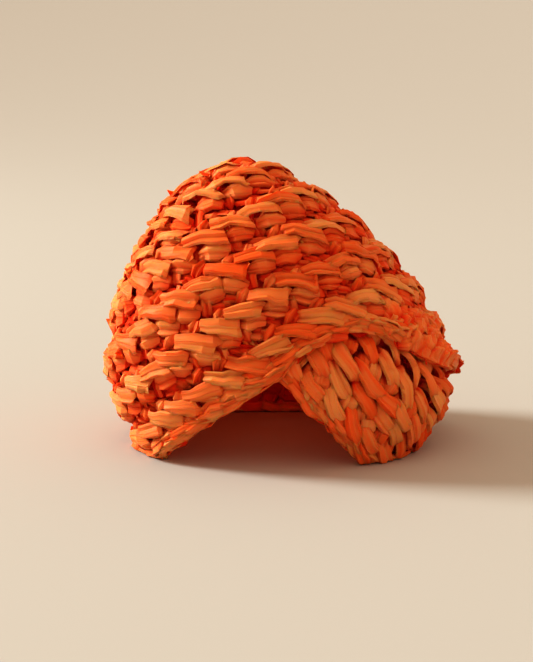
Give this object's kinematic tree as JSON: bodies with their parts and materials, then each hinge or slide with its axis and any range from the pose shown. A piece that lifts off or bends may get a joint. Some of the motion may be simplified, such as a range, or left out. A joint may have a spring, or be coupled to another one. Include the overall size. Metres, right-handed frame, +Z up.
{
  "type": "turban hat",
  "caption": "Crocheted raffia turban hat: a tilted crown of thick rows, crossed by a second band at the front over a tall arched opening.",
  "frame": {"origin": "centre of the bounding box on the surface that the hat stands on", "axes": "+Z up, -Y towards the front, where the wraps cross over the arch, +X towards the wearer's left, the right-hand side as seen from the front"},
  "size_m": [0.2516, 0.2106, 0.199],
  "materials": {
    "raffia": "satin raffia ribbon, crocheted"
  },
  "bodies": {
    "root": {"outer_wrap": "raffia", "under_wrap": "raffia"}
  },
  "joints": []
}
